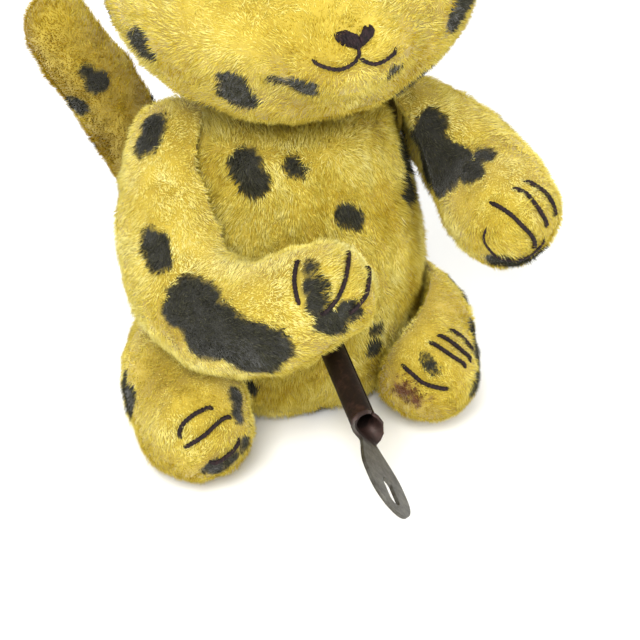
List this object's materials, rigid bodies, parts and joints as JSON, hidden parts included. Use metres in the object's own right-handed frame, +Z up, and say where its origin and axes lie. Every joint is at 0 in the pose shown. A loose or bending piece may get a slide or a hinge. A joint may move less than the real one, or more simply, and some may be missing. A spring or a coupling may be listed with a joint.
{
  "type": "wind-up plush leopard",
  "caption": "Seated spotted plush animal with a clockwork wound by a front key; its arms swing up and down in turn and its head turns.",
  "frame": {"origin": "middle of the seat panel's flat underside, on the surface the toy sits on", "axes": "+Z up, -Y the way the face and the key point, +X towards the toy's own left arm"},
  "size_m": [0.1479, 0.1907, 0.214],
  "materials": {
    "plush": "matte",
    "seat_cloth": "matte",
    "glass_eye": "gloss",
    "nose_thread": "satin",
    "fibre_board": "matte",
    "patinated_steel": "satin",
    "tinplate": "satin",
    "wheel_brass": "satin",
    "arbor_steel": "satin",
    "spring_steel": "satin"
  },
  "bodies": {
    "torso": {"torso_cover": "plush", "seat_panel": "seat_cloth", "leg_right": "plush", "leg_left": "plush", "tail": "plush", "neck_disc_lower": "fibre_board", "front_plate": "tinplate", "back_plate": "tinplate", "shoulder_bracket": "tinplate", "mainspring": "spring_steel", "rocker_stud": "arbor_steel", "pillar_1": "arbor_steel", "pillar_2": "arbor_steel", "pillar_3": "arbor_steel", "pillar_4": "arbor_steel", "pillar_nut_front_1": "wheel_brass", "pillar_nut_front_2": "wheel_brass", "pillar_nut_front_3": "wheel_brass", "pillar_nut_front_4": "wheel_brass", "pillar_nut_back_1": "wheel_brass", "pillar_nut_back_2": "wheel_brass", "pillar_nut_back_3": "wheel_brass", "pillar_nut_back_4": "wheel_brass"},
    "head": {"head_cover": "plush", "ear_right": "plush", "ear_left": "plush", "eye_right": "glass_eye", "eye_left": "glass_eye", "nose": "nose_thread", "neck_disc_upper": "fibre_board", "neck_pin": "arbor_steel"},
    "arm_right": {"arm_right": "plush", "shoulder_disc_right": "fibre_board", "arm_shaft_right": "arbor_steel", "arm_lever_right": "tinplate"},
    "arm_left": {"arm_left": "plush", "shoulder_disc_left": "fibre_board", "arm_shaft_left": "arbor_steel", "arm_lever_left": "tinplate"},
    "key": {"winding_key": "patinated_steel", "winding_arbor": "arbor_steel", "ratchet_wheel": "arbor_steel"},
    "great_wheel": {"great_wheel": "wheel_brass", "click_screw": "arbor_steel", "click_spring": "spring_steel"},
    "click": {"click": "arbor_steel"},
    "second_arbor": {"second_arbor": "arbor_steel", "second_wheel": "wheel_brass", "crank_disc": "wheel_brass", "crank_pin": "arbor_steel"},
    "fly": {"fly_arbor": "arbor_steel", "governor_fly": "wheel_brass"},
    "rocker": {"rocker": "tinplate"},
    "link_right": {"link_right": "arbor_steel"},
    "link_left": {"link_left": "arbor_steel"}
  },
  "joints": [
    {"name": "head_turn", "type": "hinge", "parent": "torso", "child": "head", "pos_m": [0, 0, 0.1054], "axis": [0, 0, 1], "range_deg": [-35, 35]},
    {"name": "arm_right_swing", "type": "hinge", "parent": "torso", "child": "arm_right", "pos_m": [-0.0356, 0, 0.092], "axis": [-1, 0, 0], "range_deg": [0, 20]},
    {"name": "arm_left_swing", "type": "hinge", "parent": "torso", "child": "arm_left", "pos_m": [0.0356, 0, 0.092], "axis": [-1, 0, 0], "range_deg": [-20, 0]},
    {"name": "rocker_tilt", "type": "hinge", "parent": "torso", "child": "rocker", "pos_m": [0, -0.00716, 0.08039], "axis": [0, -0.9877, -0.1564], "range_deg": [0, 15.5]},
    {"name": "link_right_slide", "type": "slide", "parent": "torso", "child": "link_right", "axis": [0, 0, 1], "range_m": [-0.0046, 0]},
    {"name": "link_left_slide", "type": "slide", "parent": "torso", "child": "link_left", "axis": [0, 0, 1], "range_m": [0, 0.0046]},
    {"name": "key_turn", "type": "hinge", "parent": "torso", "child": "key", "pos_m": [0, -0.002, 0.0478], "axis": [0, -0.9877, -0.1564], "continuous": true},
    {"name": "great_wheel_spin", "type": "hinge", "parent": "torso", "child": "great_wheel", "pos_m": [0, -0.002, 0.0478], "axis": [0, -0.9877, -0.1564], "continuous": true},
    {"name": "click_pivot", "type": "hinge", "parent": "great_wheel", "child": "click", "pos_m": [0.009, -0.00294, 0.05373], "axis": [0, -0.9877, -0.1564], "range_deg": [0, 8]},
    {"name": "second_arbor_spin", "type": "hinge", "parent": "torso", "child": "second_arbor", "pos_m": [0, -0.00484, 0.06573], "axis": [0, -0.9877, -0.1564], "continuous": true},
    {"name": "fly_spin", "type": "hinge", "parent": "torso", "child": "fly", "pos_m": [0.01142, -0.00419, 0.06162], "axis": [0, -0.9877, -0.1564], "continuous": true}
  ],
  "couplings": [
    {"joint": "arm_left_swing", "follows": "arm_right_swing", "ratio": -1},
    {"joint": "rocker_tilt", "follows": "arm_right_swing", "ratio": 0.77401},
    {"joint": "link_right_slide", "follows": "arm_right_swing", "m_per_rad": -0.013118},
    {"joint": "link_left_slide", "follows": "arm_right_swing", "m_per_rad": 0.013118},
    {"joint": "second_arbor_spin", "follows": "great_wheel_spin", "ratio": -5},
    {"joint": "fly_spin", "follows": "great_wheel_spin", "ratio": 25}
  ]
}
